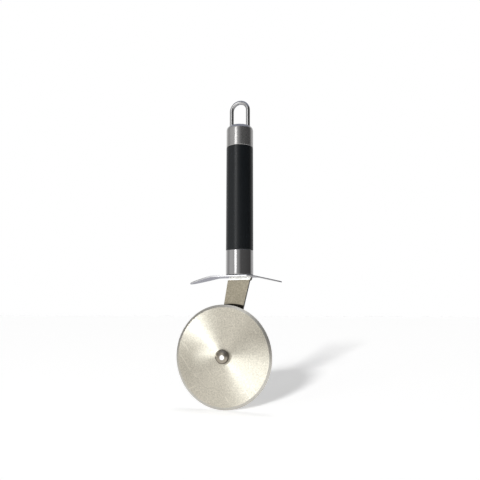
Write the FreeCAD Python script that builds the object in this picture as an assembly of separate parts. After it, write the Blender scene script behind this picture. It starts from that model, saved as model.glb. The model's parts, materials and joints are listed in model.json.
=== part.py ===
"""Pizza cutter with a round handle, a hanging loop, a finger guard and a riveted wheel on a side arm.

Millimetres, +Z up. The tool hangs: the origin is the hang point, at the inner top of the loop, on the
handle's axis. The wheel's axle runs along Y, and the wheel is on the front (-Y) side of the arm.
Heights are worked out downwards from the hang point.
"""
import FreeCAD, Part
import math
import os

# Hanging loop, bent from round wire
wire_d = 2.8
loop_leg_spacing = 11.8
loop_reach = 16.0
loop_leg_grip = 9.0

# Handle: end cap, grip sleeve and lower ferrule are flush
handle_d = 18.0
cap_height = 15.0
cap_wall = 0.8
cap_shoulder_r = 3.0
sleeve_length = 70.0
sleeve_edge_r = 0.5
core_d = 11.0
core_lower_spigot = 5.0
ferrule_height = 16.55
ferrule_wall = 0.8
ferrule_edge_r = 0.9
seam_edge_r = 0.3

# Finger guard, pressed from sheet: flat in the middle, with wings bent down
guard_span = 64.0
guard_width = 17.5
guard_thickness = 0.9
guard_flat_margin = 0.1
guard_bend_r = 20.0
guard_wing_angle = 13.0
guard_side_shift = 3.0
guard_fore_shift = 1.0

# Arm, a bent strip: tang inside the handle, jog forwards, then down to the axle with a sideways lean
arm_thickness = 1.8
arm_top_width = 15.2
arm_top_shift = 1.0
arm_end_r = 6.0
arm_bend_inside_r = 0.5
arm_jog_angle = 80.0
tang_width = 8.0
tang_length = 44.0
axle_drop = 51.65
axle_side = 9.5

# Cross pins through tang and core
tang_pin_d = 3.0
tang_pin_pitch = 12.0
tang_pin_count = 2
tang_pin_end_margin = 6.0

# Cutting wheel, ground on both faces to a thin edge
wheel_d = 66.0
wheel_thickness = 1.2
wheel_edge = 0.15
wheel_bevel = 1.7
bush_od = 7.0
bush_length = 1.8

# Axle rivet, shouldered so that it clamps the arm and leaves the wheel free
rivet_shoulder_d = 5.0
rivet_neck_d = 3.6
rivet_head_d = 8.1
rivet_head_height = 1.5
rivet_head_rim = 0.4
rivet_dish_d = 3.0
rivet_dish_depth = 0.2
rivet_tail_d = 6.4
rivet_tail_height = 1.1
front_washer_d = 9.2
front_washer_t = 0.4
spacer_washer_d = 11.0
spacer_washer_t = 0.6
rear_washer_d = 9.0
rear_washer_t = 0.7

# Clearances
wheel_side_gap = 0.3
axle_radial_gap = 0.05
slip_gap = 0.05
slot_gap = 0.1
end_gap = 0.3
level_tolerance = 0.001

# Heights below the hang point
cap_top_z = -loop_reach
sleeve_top_z = cap_top_z - cap_height
sleeve_bottom_z = sleeve_top_z - sleeve_length
ferrule_bottom_z = sleeve_bottom_z - ferrule_height
guard_bottom_z = ferrule_bottom_z - guard_thickness
axle_z = ferrule_bottom_z - axle_drop

# Radii and bend sizes worked out from the values above
handle_r = handle_d / 2
cap_inner_r = handle_r - cap_wall
ferrule_inner_r = handle_r - ferrule_wall
core_r = core_d / 2
wire_r = wire_d / 2
arm_bend_r = arm_bend_inside_r + arm_thickness / 2
arm_jog = 2 * arm_bend_r * (1 - math.cos(math.radians(arm_jog_angle)))
arm_jog_height = 2 * arm_bend_r * math.sin(math.radians(arm_jog_angle))
arm_left_x = arm_top_shift - arm_top_width / 2
arm_right_x = arm_top_shift + arm_top_width / 2

# The guard's flat middle is wide enough for the arm's shoulders to seat on it
guard_half_flat = max(arm_right_x + guard_side_shift, -arm_left_x - guard_side_shift) + guard_flat_margin

# Depths along the axle, front is -Y
arm_front_y = -arm_jog - arm_thickness / 2
arm_back_y = -arm_jog + arm_thickness / 2
bush_back_y = arm_front_y - spacer_washer_t - wheel_side_gap
wheel_mid_y = bush_back_y - bush_length / 2
front_washer_back_y = bush_back_y - bush_length - wheel_side_gap
rivet_head_y = front_washer_back_y - front_washer_t
rear_washer_y = arm_back_y + rear_washer_t

# Handle inside: the core runs from the lower plug to the cap plug
plug_top_z = cap_top_z - cap_wall - slip_gap
loop_foot_z = plug_top_z - loop_leg_grip
plug_floor_z = ferrule_bottom_z + ferrule_wall
core_top_z = loop_foot_z - end_gap
core_bottom_z = sleeve_bottom_z - core_lower_spigot
tang_top_z = ferrule_bottom_z + tang_length

Z_AXIS = FreeCAD.Vector(0, 0, 1)
BACK = FreeCAD.Vector(0, 1, 0)


def vec(x, y, z):
    return FreeCAD.Vector(x, y, z)


def cylinder_z(radius, bottom_z, top_z, x=0.0):
    return Part.makeCylinder(radius, top_z - bottom_z, vec(x, 0, bottom_z), Z_AXIS)


def axle_cylinder(radius, front_y, back_y):
    """A cylinder on the wheel's axle, between two depths."""
    return Part.makeCylinder(radius, back_y - front_y, vec(-axle_side, front_y, axle_z), BACK)


def axle_ring(outer_r, inner_r, front_y, back_y):
    bore = axle_cylinder(inner_r, front_y - end_gap, back_y + end_gap)
    return axle_cylinder(outer_r, front_y, back_y).cut(bore)


def flat_face(edges):
    """The flat face inside a closed outline."""
    return Part.Face(Part.Wire(Part.sortEdges(edges)[0]))


def revolve_axle(edges):
    """Turn a closed outline (radius along X, depth along Y) about the wheel's axle."""
    solid = flat_face(edges).revolve(vec(0, 0, 0), BACK, 360)
    solid.translate(vec(-axle_side, 0, axle_z))
    return solid


def edges_at(solid, height):
    """The round edges of a turned solid that lie in one level."""
    def in_level(edge):
        low = abs(edge.BoundBox.ZMin - height)
        high = abs(edge.BoundBox.ZMax - height)
        return max(low, high) < level_tolerance
    return [edge for edge in solid.Edges if in_level(edge)]


def line(start, end):
    return Part.makeLine(start, end)


def bend_arc(centre, radius, start, turned):
    """One face of a bend in the arm: from the direction start, through the bend's angle towards turned."""
    def at(degrees):
        angle = math.radians(degrees)
        return centre + start * (radius * math.cos(angle)) + turned * (radius * math.sin(angle))
    return Part.Arc(at(0), at(arm_jog_angle / 2), at(arm_jog_angle)).toShape()


def slot_box(clearance, bottom_z, top_z):
    """The room for the tang, with a clearance all round."""
    width = tang_width + 2 * clearance
    depth = arm_thickness + 2 * clearance
    return Part.makeBox(width, depth, top_z - bottom_z, vec(-width / 2, -depth / 2, bottom_z))


def make_hanging_loop():
    bend_r = loop_leg_spacing / 2
    bend_z = wire_r - bend_r
    left_foot = vec(-bend_r, 0, loop_foot_z)
    left_top = vec(-bend_r, 0, bend_z)
    right_top = vec(bend_r, 0, bend_z)
    arch = Part.Arc(left_top, vec(0, 0, bend_z + bend_r), right_top).toShape()
    path = Part.Wire([line(left_foot, left_top), arch, line(right_top, vec(bend_r, 0, loop_foot_z))])
    section = Part.Wire(Part.makeCircle(wire_r, left_foot, Z_AXIS))
    return path.makePipeShell([section], True, False)


def leg_holes(clearance, bottom_z, top_z):
    hole_r = wire_r + clearance
    return [cylinder_z(hole_r, bottom_z, top_z, side * loop_leg_spacing / 2) for side in (-1, 1)]


def make_end_cap():
    """A drawn steel cup, upside down, with a rounded shoulder and a hole for each leg of the loop."""
    body = cylinder_z(handle_r, sleeve_top_z, cap_top_z)
    body = body.makeFillet(cap_shoulder_r, edges_at(body, cap_top_z))
    body = body.makeFillet(seam_edge_r, edges_at(body, sleeve_top_z))
    inside = cylinder_z(cap_inner_r, sleeve_top_z, cap_top_z - cap_wall)
    inside = inside.makeFillet(cap_shoulder_r - cap_wall, edges_at(inside, cap_top_z - cap_wall))
    return body.cut(inside).cut(Part.makeCompound(leg_holes(slot_gap, sleeve_top_z, cap_top_z + wire_d)))


def make_cap_plug():
    """The moulded plug in the cap: it grips the loop's legs and sits on the core's upper end."""
    plug = cylinder_z(cap_inner_r - slip_gap, sleeve_top_z, plug_top_z)
    plug = plug.makeFillet(cap_shoulder_r, edges_at(plug, plug_top_z))
    legs = leg_holes(slip_gap, loop_foot_z - slip_gap, plug_top_z)
    socket = cylinder_z(core_r + slip_gap, sleeve_top_z, core_top_z + slip_gap)
    return plug.cut(Part.makeCompound(legs + [socket]))


def make_grip_sleeve():
    sleeve = cylinder_z(handle_r, sleeve_bottom_z, sleeve_top_z)
    ends = edges_at(sleeve, sleeve_top_z) + edges_at(sleeve, sleeve_bottom_z)
    sleeve = sleeve.makeFillet(sleeve_edge_r, ends)
    return sleeve.cut(cylinder_z(core_r + slip_gap, sleeve_bottom_z, sleeve_top_z))


def pin_heights():
    top_pin_z = tang_top_z - tang_pin_end_margin
    return [top_pin_z - index * tang_pin_pitch for index in range(tang_pin_count)]


def cross_pin(clearance, height, half_length):
    pin_r = tang_pin_d / 2 + clearance
    return Part.makeCylinder(pin_r, 2 * half_length, vec(0, -half_length, height), BACK)


def make_handle_core():
    core = cylinder_z(core_r, core_bottom_z, core_top_z)
    holes = [cross_pin(slip_gap, height, core_r) for height in pin_heights()]
    return core.cut(Part.makeCompound(holes + [slot_box(slot_gap, core_bottom_z, tang_top_z + end_gap)]))


def make_tang_pins():
    """Pins through the core and the tang, a little short of the core's own surface."""
    pin_r = tang_pin_d / 2
    half_length = math.sqrt(core_r ** 2 - pin_r ** 2) - end_gap
    return Part.makeCompound([cross_pin(0.0, height, half_length) for height in pin_heights()])


def make_ferrule_plug():
    """The moulded plug in the lower ferrule: it carries the core's lower end and lets the tang through."""
    plug = cylinder_z(ferrule_inner_r - slip_gap, plug_floor_z, sleeve_bottom_z)
    plug = plug.makeFillet(ferrule_edge_r, edges_at(plug, plug_floor_z))
    socket = cylinder_z(core_r + slip_gap, core_bottom_z - slip_gap, sleeve_bottom_z)
    return plug.cut(Part.makeCompound([socket, slot_box(slot_gap, plug_floor_z, sleeve_bottom_z)]))


def make_lower_ferrule():
    """A drawn steel cup with a slot for the tang in its floor."""
    cup = cylinder_z(handle_r, ferrule_bottom_z, sleeve_bottom_z)
    cup = cup.makeFillet(ferrule_edge_r, edges_at(cup, ferrule_bottom_z))
    cup = cup.makeFillet(seam_edge_r, edges_at(cup, sleeve_bottom_z))
    inside = cylinder_z(ferrule_inner_r, plug_floor_z, sleeve_bottom_z)
    inside = inside.makeFillet(seam_edge_r, edges_at(inside, plug_floor_z))
    return cup.cut(inside).cut(slot_box(slot_gap, ferrule_bottom_z, plug_floor_z))


def guard_wing_outline(side, angle, tip_x):
    """One wing's upper and lower face: end of the flat, bend, end of the bend and tip."""
    centre_z = ferrule_bottom_z - guard_bend_r

    def on_bend(radius, turn):
        reach = guard_half_flat + radius * math.sin(turn)
        return vec(side * reach, 0, centre_z + radius * math.cos(turn))

    def at_tip(start):
        run = tip_x - abs(start.x)
        return vec(side * tip_x, 0, start.z - run * math.tan(angle))
    faces = []
    for radius in (guard_bend_r, guard_bend_r - guard_thickness):
        flat_end = on_bend(radius, 0)
        bend_end = on_bend(radius, angle)
        bend = Part.Arc(flat_end, on_bend(radius, angle / 2), bend_end).toShape()
        faces.append((flat_end, bend, bend_end, at_tip(bend_end)))
    return faces


def make_finger_guard():
    """An oval sheet with wings that droop, set a little off the axis, with a slot for the tang."""
    angle = math.radians(guard_wing_angle)
    tip_x = guard_span / 2 + guard_thickness
    edges = []
    for side in (-1, 1):
        tips = []
        for flat_end, bend, bend_end, tip in guard_wing_outline(side, angle, tip_x):
            edges.append(line(vec(0, 0, flat_end.z), flat_end))
            edges.append(bend)
            edges.append(line(bend_end, tip))
            tips.append(tip)
        edges.append(line(tips[0], tips[1]))
    profile = flat_face(edges)
    profile.translate(vec(0, -guard_width, 0))
    sheet = profile.extrude(BACK * (2 * guard_width))
    outline = Part.Ellipse(vec(0, 0, 0), guard_span / 2, guard_width / 2).toShape()
    blank = Part.Face(Part.Wire(outline)).extrude(Z_AXIS * (2 * guard_span))
    blank.translate(vec(0, 0, ferrule_bottom_z - guard_span))
    guard = sheet.common(blank)
    guard.translate(vec(-guard_side_shift, -guard_fore_shift, 0))
    return guard.cut(slot_box(slot_gap, guard_bottom_z - guard_thickness, ferrule_bottom_z))


def arm_side_profile(top_z, bottom_z):
    """The strip seen from its edge: straight tang, two equal bends, straight strip down."""
    half_t = arm_thickness / 2
    upper_centre = vec(0, -arm_bend_r, guard_bottom_z)
    lower_centre = vec(0, arm_bend_r - arm_jog, guard_bottom_z - arm_jog_height)
    down = -Z_AXIS
    edges = []
    ends = []
    for side in (1, -1):
        tang_top = vec(0, side * half_t, top_z)
        tang_end = vec(0, side * half_t, guard_bottom_z)
        strip_top = vec(0, side * half_t - arm_jog, lower_centre.z)
        strip_end = vec(0, side * half_t - arm_jog, bottom_z)
        edges.append(line(tang_top, tang_end))
        edges.append(bend_arc(upper_centre, arm_bend_r + side * half_t, BACK, down))
        edges.append(bend_arc(lower_centre, arm_bend_r - side * half_t, -BACK, -down))
        edges.append(line(strip_top, strip_end))
        ends.append((tang_top, strip_end))
    edges.append(line(ends[0][0], ends[1][0]))
    edges.append(line(ends[0][1], ends[1][1]))
    return edges


def tangent_point(start, centre, radius, side):
    """Where a line from start touches a circle in the XZ plane, on the chosen side."""
    reach = centre - start
    distance = reach.Length
    heading = math.atan2(reach.z, reach.x)
    spread = math.asin(radius / distance)
    along = math.sqrt(distance ** 2 - radius ** 2)
    turned = heading + side * spread
    return start + vec(math.cos(turned), 0, math.sin(turned)) * along


def arm_front_outline():
    """The strip seen from the front: tang, shoulders under the guard, taper, round end at the axle."""
    half_tang = tang_width / 2
    left = vec(arm_left_x, 0, guard_bottom_z)
    right = vec(arm_right_x, 0, guard_bottom_z)
    axle = vec(-axle_side, 0, axle_z)
    left_touch = tangent_point(left, axle, arm_end_r, -1)
    right_touch = tangent_point(right, axle, arm_end_r, 1)
    down = (axle - (left + right) * 0.5).normalize()
    return [
        line(vec(-half_tang, 0, tang_top_z), vec(half_tang, 0, tang_top_z)),
        line(vec(half_tang, 0, tang_top_z), vec(half_tang, 0, guard_bottom_z)),
        line(vec(half_tang, 0, guard_bottom_z), right),
        line(right, right_touch),
        Part.Arc(right_touch, axle + down * arm_end_r, left_touch).toShape(),
        line(left_touch, left),
        line(left, vec(-half_tang, 0, guard_bottom_z)),
        line(vec(-half_tang, 0, guard_bottom_z), vec(-half_tang, 0, tang_top_z)),
    ]


def make_arm():
    reach_x = axle_side + arm_top_width + tang_width
    profile = flat_face(arm_side_profile(tang_top_z, axle_z - 2 * arm_end_r))
    profile.translate(vec(-reach_x, 0, 0))
    strip = profile.extrude(vec(2 * reach_x, 0, 0))
    outline = flat_face(arm_front_outline())
    depth = arm_jog + arm_thickness
    outline.translate(vec(0, -2 * depth, 0))
    arm = strip.common(outline.extrude(BACK * (4 * depth)))
    holes = [cross_pin(slip_gap, height, arm_thickness) for height in pin_heights()]
    rivet_hole = axle_cylinder(rivet_neck_d / 2 + slip_gap, arm_front_y - end_gap, arm_back_y + end_gap)
    return arm.cut(Part.makeCompound(holes + [rivet_hole]))


def make_cutting_wheel():
    outer_r = wheel_d / 2
    half_t = wheel_thickness / 2
    half_edge = wheel_edge / 2
    corners = [
        vec(bush_od / 2, wheel_mid_y - half_t, 0),
        vec(outer_r - wheel_bevel, wheel_mid_y - half_t, 0),
        vec(outer_r, wheel_mid_y - half_edge, 0),
        vec(outer_r, wheel_mid_y + half_edge, 0),
        vec(outer_r - wheel_bevel, wheel_mid_y + half_t, 0),
        vec(bush_od / 2, wheel_mid_y + half_t, 0),
    ]
    return revolve_axle([line(a, b) for a, b in zip(corners, corners[1:] + corners[:1])])


def make_wheel_bush():
    bore_r = rivet_shoulder_d / 2 + axle_radial_gap
    return axle_ring(bush_od / 2, bore_r, bush_back_y - bush_length, bush_back_y)


def axle_centred_arc(outer, inner):
    """An arc between two points of an axle outline, part of a circle centred on the axle."""
    outer_span = outer.x ** 2 + outer.y ** 2
    inner_span = inner.x ** 2 + inner.y ** 2
    centre_y = (outer_span - inner_span) / (2 * (outer.y - inner.y))
    radius = math.hypot(outer.x, outer.y - centre_y)
    middle_x = (outer.x + inner.x) / 2
    bulge = math.sqrt(radius ** 2 - middle_x ** 2)
    middle = vec(middle_x, centre_y + math.copysign(bulge, outer.y - centre_y), 0)
    return Part.Arc(outer, middle, inner).toShape()


def make_axle_rivet():
    """Domed head with a small dish, shoulder for the wheel, neck through the arm, peened tail."""
    head_r = rivet_head_d / 2
    shoulder_r = rivet_shoulder_d / 2
    neck_r = rivet_neck_d / 2
    face_y = rivet_head_y - rivet_head_height
    dish_centre = vec(0, face_y + rivet_dish_depth, 0)
    dish_edge = vec(rivet_dish_d / 2, face_y, 0)
    head_rim = vec(head_r, rivet_head_y - rivet_head_rim, 0)
    tail_rim = vec(rivet_tail_d / 2, rear_washer_y, 0)
    tail_centre = vec(0, rear_washer_y + rivet_tail_height, 0)
    sides = [
        head_rim,
        vec(head_r, rivet_head_y, 0),
        vec(shoulder_r, rivet_head_y, 0),
        vec(shoulder_r, arm_front_y, 0),
        vec(neck_r, arm_front_y, 0),
        vec(neck_r, rear_washer_y, 0),
        tail_rim,
    ]
    edges = [axle_centred_arc(dish_edge, dish_centre), axle_centred_arc(head_rim, dish_edge)]
    edges += [line(start, end) for start, end in zip(sides, sides[1:])]
    edges += [axle_centred_arc(tail_rim, tail_centre), line(tail_centre, dish_centre)]
    return revolve_axle(edges)


def make_spacer_washer():
    hole_r = rivet_shoulder_d / 2 + slip_gap
    return axle_ring(spacer_washer_d / 2, hole_r, arm_front_y - spacer_washer_t, arm_front_y)


def make_front_washer():
    hole_r = rivet_shoulder_d / 2 + slip_gap
    return axle_ring(front_washer_d / 2, hole_r, rivet_head_y, front_washer_back_y)


def make_rear_washer():
    return axle_ring(rear_washer_d / 2, rivet_neck_d / 2 + slip_gap, arm_back_y, rear_washer_y)


PARTS = {
    "hanging_loop": make_hanging_loop,
    "end_cap": make_end_cap,
    "cap_plug": make_cap_plug,
    "grip_sleeve": make_grip_sleeve,
    "handle_core": make_handle_core,
    "ferrule_plug": make_ferrule_plug,
    "lower_ferrule": make_lower_ferrule,
    "finger_guard": make_finger_guard,
    "arm": make_arm,
    "tang_pins": make_tang_pins,
    "cutting_wheel": make_cutting_wheel,
    "wheel_bush": make_wheel_bush,
    "axle_rivet": make_axle_rivet,
    "spacer_washer": make_spacer_washer,
    "front_washer": make_front_washer,
    "rear_washer": make_rear_washer,
}


def main():
    os.makedirs("parts", exist_ok=True)
    for name, make in PARTS.items():
        shape = make()
        shape.exportStep("parts/" + name + ".step")
        print(name, "solids", len(shape.Solids), "valid", shape.isValid(), "volume", round(shape.Volume, 1))


main()
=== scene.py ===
"""Looks of a pizza cutter with a round handle, a finger guard and a riveted wheel.

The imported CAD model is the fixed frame. Each operator models one piece over its CAD node, in metres and in
the same frame: the origin is the hang point inside the loop, +Z is up and the wheel is on the front (-Y).
"""
import json
import math

import bmesh
import bpy
from bpy.props import FloatProperty, FloatVectorProperty, IntProperty, PointerProperty
from mathutils import Matrix, Vector

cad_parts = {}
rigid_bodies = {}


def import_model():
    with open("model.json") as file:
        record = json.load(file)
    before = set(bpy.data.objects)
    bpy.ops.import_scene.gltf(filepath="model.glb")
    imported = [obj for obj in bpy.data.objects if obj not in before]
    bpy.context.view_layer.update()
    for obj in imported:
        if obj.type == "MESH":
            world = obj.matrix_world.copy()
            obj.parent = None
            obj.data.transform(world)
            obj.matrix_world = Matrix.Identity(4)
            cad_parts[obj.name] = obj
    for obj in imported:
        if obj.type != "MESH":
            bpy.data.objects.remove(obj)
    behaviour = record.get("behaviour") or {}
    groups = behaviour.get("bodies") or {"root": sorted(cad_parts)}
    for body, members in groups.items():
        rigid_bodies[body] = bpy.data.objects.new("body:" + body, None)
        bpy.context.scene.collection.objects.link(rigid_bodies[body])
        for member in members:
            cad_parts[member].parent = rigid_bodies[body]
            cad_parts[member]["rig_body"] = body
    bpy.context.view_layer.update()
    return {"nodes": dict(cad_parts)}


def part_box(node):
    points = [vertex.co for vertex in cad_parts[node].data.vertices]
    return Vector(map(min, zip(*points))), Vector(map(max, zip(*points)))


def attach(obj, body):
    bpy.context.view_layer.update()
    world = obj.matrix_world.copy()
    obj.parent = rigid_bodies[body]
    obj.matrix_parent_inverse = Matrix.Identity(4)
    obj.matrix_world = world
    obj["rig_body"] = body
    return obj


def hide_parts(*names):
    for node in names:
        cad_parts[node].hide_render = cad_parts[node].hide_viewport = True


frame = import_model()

bl_info = {
    "name": "Pizza cutter maker",
    "version": (1, 0, 0),
    "blender": (4, 5, 0),
    "location": "3D View > Sidebar > Cutter",
    "description": "Models and finishes the pieces of a pizza cutter over its CAD frame",
    "category": "Object",
}

MM = 0.001
WELD = 0.002 * MM
FULL_TURN = 2 * math.pi
CREASE = math.radians(35)
CORNER = math.radians(50)

CAP_LOW, CAP_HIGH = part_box("end_cap")
SLEEVE_LOW, SLEEVE_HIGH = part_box("grip_sleeve")
FERRULE_LOW, FERRULE_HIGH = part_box("lower_ferrule")
GUARD_LOW, GUARD_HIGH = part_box("finger_guard")
ARM_LOW, ARM_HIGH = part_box("arm")
WHEEL_LOW, WHEEL_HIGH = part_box("cutting_wheel")
LOOP_LOW, LOOP_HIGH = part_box("hanging_loop")
RIVET_LOW, RIVET_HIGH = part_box("axle_rivet")
HUB = (WHEEL_LOW + WHEEL_HIGH) / 2
ARM_BEND_FOOT = GUARD_HIGH.z - 2.75 * MM
WHEEL_RADIUS = (WHEEL_HIGH.x - WHEEL_LOW.x) / 2
WHITE = (1.0, 1.0, 1.0, 1.0)

# Ranges for Finish.spread: faces seen from the side, for painted shade on them, and specks as fine dark and
# bright dots
SHADED_SIDE = (0.0, 1.0, 0.6, 0.85)
SPECKLE = (0.3, 1.0, 0.42, 0.58)

# Local Z of a piece turned about the axle becomes world +Y, and its middle the hub
ON_AXLE = Matrix.Translation((HUB.x, 0.0, HUB.z)) @ Matrix.Rotation(math.radians(-90), 4, "X")


def length(name, description, default):
    return FloatProperty(
        name=name, description=description, default=default, min=0.0, precision=5,
        unit="LENGTH", subtype="DISTANCE",
    )


def angle(name, description, degrees):
    return FloatProperty(
        name=name, description=description, default=math.radians(degrees), min=0.0, max=math.pi,
        unit="ROTATION", subtype="ANGLE",
    )


def colour(name, description, default):
    return FloatVectorProperty(
        name=name, description=description, default=default, size=3, min=0.0, max=1.0, subtype="COLOR",
    )


class CutterHandleSizes(bpy.types.PropertyGroup):
    """Sizes of the handle's pieces."""

    wire: length("Wire", "Diameter of the hanging loop's wire", 2.8 * MM)
    cap_shoulder: length("Cap shoulder", "Radius of the end cap's rounded shoulder", 3.0 * MM)
    cap_wall: length("Cap wall", "Sheet thickness of the drawn end cap", 0.8 * MM)
    leg_gap: length("Leg gap", "Gap round each leg of the loop in the cap", 0.1 * MM)
    seam_edge: length("Seam edge", "Radius of the steel edges at the seams", 0.3 * MM)
    sleeve_edge: length("Sleeve edge", "Radius of the grip sleeve's ends", 0.5 * MM)
    sleeve_bore: length("Sleeve bore", "Radius of the bore over the core", 5.55 * MM)
    ferrule_edge: length("Ferrule edge", "Radius of the lower ferrule's bottom edge", 0.9 * MM)
    ferrule_wall: length("Ferrule wall", "Sheet thickness of the lower ferrule", 0.8 * MM)


class CutterBladeSizes(bpy.types.PropertyGroup):
    """Sizes of the guard, arm, wheel and fasteners."""

    guard_sheet: length("Guard sheet", "Thickness of the finger guard", 0.9 * MM)
    guard_bend: length("Guard bend", "Radius of the bend in the guard's wings", 20.0 * MM)
    guard_flat: length("Guard flat", "Half length of the guard's flat middle", 11.7 * MM)
    guard_droop: angle("Guard droop", "How far the guard's wings droop", 13.0)
    guard_edge: length("Guard edge", "Radius of the guard's tumbled edge", 0.22 * MM)
    arm_strip: length("Arm strip", "Thickness of the arm", 1.8 * MM)
    arm_width: length("Arm width", "Width of the arm under the guard", 15.2 * MM)
    arm_jog: angle("Arm jog", "How far each of the arm's bends turns", 80.0)
    tang: length("Tang", "Half width of the arm's tang", 4.0 * MM)
    tang_gap: length("Tang gap", "Gap round the tang in its slots", 0.1 * MM)
    arm_bend: length("Arm bend", "Inside radius of the arm's bends", 0.5 * MM)
    arm_edge: length("Arm edge", "Radius of the arm's broken edge", 0.2 * MM)
    arm_end: length("Arm end", "Radius of the arm's round end", 6.0 * MM)
    wheel_bore: length("Wheel bore", "Radius of the wheel's bore over its bush", 3.5 * MM)
    bevel: length("Ground bevel", "Width of the wheel's ground edge", 1.7 * MM)
    cutting_edge: length("Cutting edge", "Thickness left at the cutting edge", 0.15 * MM)
    rivet_dish: length("Rivet dish", "Radius of the dish in the rivet's head", 1.5 * MM)
    rivet_rim: length("Rivet rim", "Height of the head's straight rim", 0.4 * MM)
    rivet_shoulder: length("Rivet shoulder", "Radius that the bush runs on", 2.5 * MM)
    rivet_shank: length("Rivet shank", "Radius through the arm", 1.8 * MM)
    rivet_tail: length("Rivet tail", "Radius of the peened tail", 3.2 * MM)
    rivet_gap: length("Rivet gap", "Gap round the rivet in the arm and the washers", 0.05 * MM)
    steps: IntProperty(name="Wheel steps", description="Steps round the wheel", default=144, min=24, max=360)


class CutterFinish(bpy.types.PropertyGroup):
    """Colours of the pieces."""

    wire: colour("Wire", "Polished wire", (0.58, 0.58, 0.58))
    cap: colour("Cap", "Satin polished cap", (0.66, 0.65, 0.64))
    ferrule: colour("Ferrule", "Mirror polished ferrule", (0.66, 0.65, 0.65))
    grip: colour("Grip", "Matte black moulding", (0.0022, 0.0034, 0.0046))
    guard: colour("Guard", "Polished sheet", (0.74, 0.74, 0.76))
    arm: colour("Arm", "Satin strip", (0.52, 0.475, 0.37))
    blade: colour("Blade", "Ground disc", (0.66, 0.62, 0.53))
    edge: colour("Edge", "Ground bevel", (0.62, 0.60, 0.55))
    rivet: colour("Rivet", "Rivet head", (0.40, 0.36, 0.30))
    washer: colour("Washer", "Bright washers", (0.72, 0.71, 0.69))
    brass: colour("Bush", "Turned brass bush", (0.60, 0.43, 0.20))
    pins: colour("Pins", "Ground tang pins", (0.55, 0.55, 0.55))
    nylon: colour("Core", "Natural nylon inside the handle", (0.72, 0.69, 0.60))


class CutterStage(bpy.types.PropertyGroup):
    """Floor, lamps and camera."""

    floor: colour("Floor", "Pale floor", (0.95, 0.95, 0.95))
    floor_lift: FloatProperty(
        name="Floor lift", description="White that the floor shows besides its lit colour",
        default=0.235, min=0.0,
    )
    sky: FloatProperty(name="Fill", description="Strength of the even fill light", default=0.2, min=0.0)
    sun: FloatProperty(name="Key", description="Strength of the key light", default=1.6, min=0.0)
    lens: FloatProperty(name="Lens", description="Focal length in millimetres", default=39.0, min=1.0)


# Shaping helpers

class Pen:
    """Draws an outline from point to point: along X, or a turned piece's radius, and up Z."""

    def __init__(self, bm, radius, height):
        self.bm = bm
        self.start = (radius, height)
        self.tip = bm.verts.new((radius, 0.0, height))

    def line(self, radius, height):
        made = bmesh.ops.extrude_vert_indiv(self.bm, verts=[self.tip])
        self.tip = made["verts"][0]
        self.tip.co = (radius, 0.0, height)

    def close(self):
        self.line(*self.start)

    def round(self, radius, height, degrees, steps):
        """An arc about a centre, towards +Z from +X where the degrees are positive."""
        made = bmesh.ops.spin(
            self.bm, geom=[self.tip], cent=(radius, 0.0, height), axis=(0.0, -1.0, 0.0),
            angle=math.radians(degrees), steps=steps,
        )
        self.tip = made["geom_last"][0]

    def dome(self, radius, height, steps):
        """An arc to a point, about a centre on the axis."""
        here = self.tip.co
        rise = here.x ** 2 + here.z ** 2 - radius ** 2 - height ** 2
        middle = rise / (2 * (here.z - height))
        began = math.atan2(here.z - middle, here.x)
        ended = math.atan2(height - middle, radius)
        self.round(0.0, middle, math.degrees(ended - began), steps)


def turn_round(bm, steps):
    """Spin the outline a full turn about Z, and lay a UV map round it."""
    bmesh.ops.spin(
        bm, geom=bm.verts[:] + bm.edges[:], cent=(0.0, 0.0, 0.0), axis=(0.0, 0.0, 1.0),
        angle=FULL_TURN, steps=steps, use_merge=True,
    )
    bmesh.ops.remove_doubles(bm, verts=bm.verts[:], dist=WELD)
    around = bm.loops.layers.uv.new("around")
    for face in bm.faces:
        middle = face.calc_center_median()
        heading = math.atan2(middle.y, middle.x)
        for loop in face.loops:
            co = loop.vert.co
            radius = math.hypot(co.x, co.y)
            turn = math.atan2(co.y, co.x) - heading if radius > WELD else 0.0
            turn = (turn + math.pi) % FULL_TURN - math.pi
            loop[around].uv = ((heading + turn) / FULL_TURN, (radius + co.z) / (10 * MM))


def turn_on_axle(bm, steps):
    """Spin the outline, and lay it on the wheel's axle."""
    turn_round(bm, steps)
    bmesh.ops.transform(bm, matrix=ON_AXLE, verts=bm.verts[:])


def fresh_edges(made):
    """The edges of an extrusion that join only its new vertices."""
    new = {g for g in made["geom"] if isinstance(g, bmesh.types.BMVert)}
    edges = [g for g in made["geom"] if isinstance(g, bmesh.types.BMEdge)]
    return list(new), [edge for edge in edges if edge.verts[0] in new and edge.verts[1] in new]


def push_ring(bm, edges, move):
    """Extrude a ring of edges by a vector, and give the new ring."""
    verts, ring = fresh_edges(bmesh.ops.extrude_edge_only(bm, edges=edges))
    bmesh.ops.translate(bm, vec=move, verts=verts)
    return ring


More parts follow.
